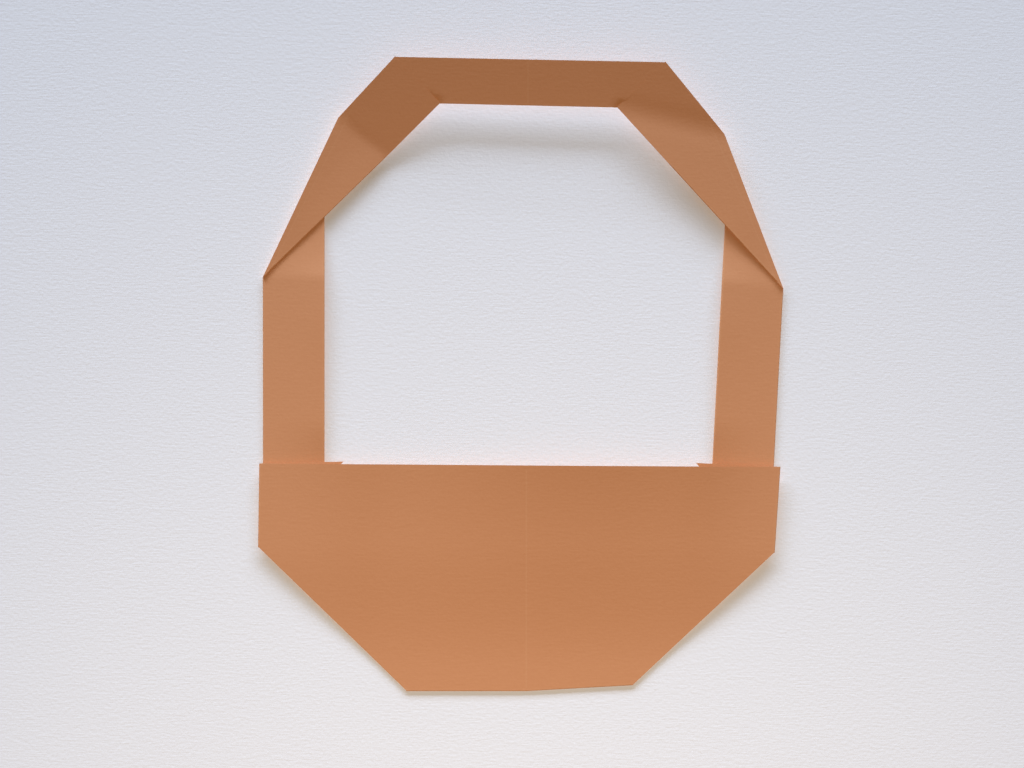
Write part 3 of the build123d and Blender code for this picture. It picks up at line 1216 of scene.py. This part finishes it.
class Shader:
    """Builds a node material step by step."""

    def __init__(self, name: str):
        """Starts a material.

        Args:
            name: The material's name.
        """
        self.material = bpy.data.materials.new(name)
        self.material.use_nodes = True
        self.tree = self.material.node_tree
        self.bsdf = self.tree.nodes["Principled BSDF"]

    def node(self, kind: str, **values) -> bpy.types.Node:
        """Adds a node and sets its properties.

        Args:
            kind: The node's type, without its prefix.
            **values: Properties to set.

        Returns:
            The node.
        """
        made = self.tree.nodes.new(f"ShaderNode{kind}")
        for key, value in values.items():
            setattr(made, key, value)
        return made

    def link(self, source: bpy.types.NodeSocket, target: bpy.types.NodeSocket) -> None:
        """Joins an output to an input.

        Args:
            source: The output socket.
            target: The input socket.
        """
        self.tree.links.new(source, target)

    def noise(
        self, scale: float, detail: float, stretch: tuple = (1, 1, 1), turn: float = 0.0
    ) -> bpy.types.NodeSocket:
        """Adds a noise on the object's coordinates.

        Args:
            scale: Waves per metre.
            detail: Octaves.
            stretch: How much finer it is along each axis.
            turn: Degrees that it is turned by in the plan.

        Returns:
            The noise's output.
        """
        place = self.node("Mapping")
        place.inputs["Rotation"].default_value = (0, 0, np.radians(turn))
        place.inputs["Scale"].default_value = stretch
        self.link(self.node("TexCoord").outputs["Object"], place.inputs["Vector"])
        made = self.node("TexNoise")
        made.inputs["Scale"].default_value = scale
        made.inputs["Detail"].default_value = detail
        self.link(place.outputs["Vector"], made.inputs["Vector"])
        return made.outputs["Fac"]

    def math(
        self, kind: str, first: bpy.types.NodeSocket | float, second: bpy.types.NodeSocket | float
    ) -> bpy.types.NodeSocket:
        """Adds a sum or product of two values.

        Args:
            kind: The operation.
            first: An output, or a number.
            second: An output, or a number.

        Returns:
            The result's output.
        """
        made = self.node("Math", operation=kind)
        for socket, value in zip(made.inputs, (first, second)):
            if isinstance(value, (int, float)):
                socket.default_value = value
            else:
                self.link(value, socket)
        return made.outputs[0]

    def mix(
        self, share: bpy.types.NodeSocket, first: bpy.types.NodeSocket | tuple, second: tuple
    ) -> bpy.types.NodeSocket:
        """Adds a mix of two colours.

        Args:
            share: The output that tells how much of the second there is.
            first: A colour, or an output.
            second: A colour.

        Returns:
            The mix's output.
        """
        made = self.node("Mix", data_type="RGBA")
        self.link(share, made.inputs[0])
        if isinstance(first, tuple):
            made.inputs[6].default_value = (*first, 1)
        else:
            self.link(first, made.inputs[6])
        made.inputs[7].default_value = (*second, 1)
        return made.outputs[2]


def paper(finish: Finish) -> bpy.types.Material:
    """Makes a paper: mottled, with short fibres, and lighter along folds and creases, for fibres
    whitened by folding and a painted highlight.

    Args:
        finish: Its colours and grain.

    Returns:
        The material.
    """
    shader = Shader(finish.name)
    mottle = shader.noise(finish.mottle, finish.mottle_detail)
    fibre = shader.noise(finish.fibre, finish.fibre_detail, finish.fibre_stretch, finish.fibre_turn)
    both = shader.math(
        "ADD",
        shader.math("MULTIPLY", mottle, finish.mottle_share),
        shader.math("MULTIPLY", fibre, finish.fibre_share),
    )
    # Drawn lighter along folds and creases: fibres whitened by folding, and painted highlight.
    worn_and_lit = shader.node("Attribute", attribute_name="wear_and_highlight").outputs["Fac"]
    colour = shader.mix(both, finish.deep, finish.colour)
    colour = shader.mix(shader.math("MULTIPLY", worn_and_lit, finish.worn_and_lit_share), colour, finish.worn_and_lit)
    shader.link(colour, shader.bsdf.inputs["Base Color"])
    relief = shader.node("Bump")
    relief.inputs["Strength"].default_value = 1.0
    relief.inputs["Distance"].default_value = finish.bump
    shader.link(both, relief.inputs["Height"])
    shader.link(relief.outputs["Normal"], shader.bsdf.inputs["Normal"])
    shader.bsdf.inputs["Roughness"].default_value = finish.roughness
    shader.bsdf.inputs["Specular IOR Level"].default_value = finish.specular
    shader.bsdf.inputs["IOR"].default_value = finish.ior
    return shader.material


@dataclass(frozen=True)
class Lamp:
    """One soft area light that faces the basket; places in metres, power in watts."""

    name: str
    at: tuple
    size: tuple
    power: float
    colour: tuple
    shades: bool
    shines: bool


LAMPS = (
    Lamp("window", (-0.3, 3.87, 0.95), (6.0, 0.9), 555.0, (0.67, 0.82, 1.0), True, True),
    Lamp("glow", (0.0, -0.21, 0.37), (0.4, 0.3), 1.44, (1.0, 0.83, 0.60), False, False),
)


@dataclass
class Studio:
    """The pale sheet below, the soft lights and the camera straight above; lengths in metres.

    The lens and the sensor are in millimetres, as on a camera.
    """

    floor_size: float = 6.0
    ambient: float = 0.03
    sky: tuple = (0.96, 0.97, 1.0)
    lens: float = 100.0
    sensor: float = 36.0
    frame_width: float = 0.3103
    aim: tuple = (-0.00265, -0.0028)
    aim_height: float = 0.0014

    def floor(self) -> None:
        """Makes the sheet that the basket lies on."""
        bpy.ops.mesh.primitive_plane_add(size=self.floor_size)
        made = bpy.context.object
        made.name = "ground_sheet"
        made.data.materials.append(paper(GROUND))

    def light(self, lamp: Lamp) -> None:
        """Makes one area light.

        Args:
            lamp: Its place, size and strength.
        """
        data = bpy.data.lights.new(lamp.name, "AREA")
        data.shape = "RECTANGLE"
        data.size, data.size_y = lamp.size
        data.energy = lamp.power
        data.color = lamp.colour
        data.use_shadow = lamp.shades
        made = bpy.data.objects.new(lamp.name, data)
        made.location = lamp.at
        made.rotation_euler = (-Vector(lamp.at)).to_track_quat("-Z", "Y").to_euler()
        made.visible_camera = False
        made.visible_glossy = lamp.shines
        bpy.context.scene.collection.objects.link(made)

    def camera(self) -> None:
        """Makes the camera, straight above a point a little off the basket's middle."""
        data = bpy.data.cameras.new("camera")
        data.lens = self.lens
        data.sensor_width = self.sensor
        made = bpy.data.objects.new("camera", data)
        distance = self.frame_width * self.lens / self.sensor
        made.location = (*self.aim, distance + self.aim_height)
        bpy.context.scene.collection.objects.link(made)
        bpy.context.scene.camera = made

    def build(self) -> None:
        """Sets up the floor, the lights, the surroundings and the camera."""
        self.floor()
        for lamp in LAMPS:
            self.light(lamp)
        world = bpy.data.worlds.new("surroundings")
        world.use_nodes = True
        background = world.node_tree.nodes["Background"]
        background.inputs["Color"].default_value = (*self.sky, 1)
        background.inputs["Strength"].default_value = self.ambient
        bpy.context.scene.world = world
        bpy.context.scene.view_settings.view_transform = "Standard"
        self.camera()


def main() -> None:
    """Builds the basket and its surroundings."""
    logging.basicConfig(level=logging.INFO, format="%(name)s: %(message)s")
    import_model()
    left, right = Half(LEFT), Half(RIGHT)
    relief = Relief(left, right)
    corners = outline(left, right)
    shell = Shell(shift=(corners.min(axis=0) + corners.max(axis=0)) / 2)
    Pocket(left, right, relief).fold_into(shell)
    Handle(left, right, relief).fold_into(shell)
    sheet = shell.build("paper_sheet")
    sheet.data.materials.append(paper(KRAFT))
    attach(sheet, "root")
    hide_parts(NODE)
    LOG.info("paper sheet: %d points, %d faces", len(sheet.data.vertices), len(sheet.data.polygons))
    Studio().build()


if __name__ == "__main__":
    main()
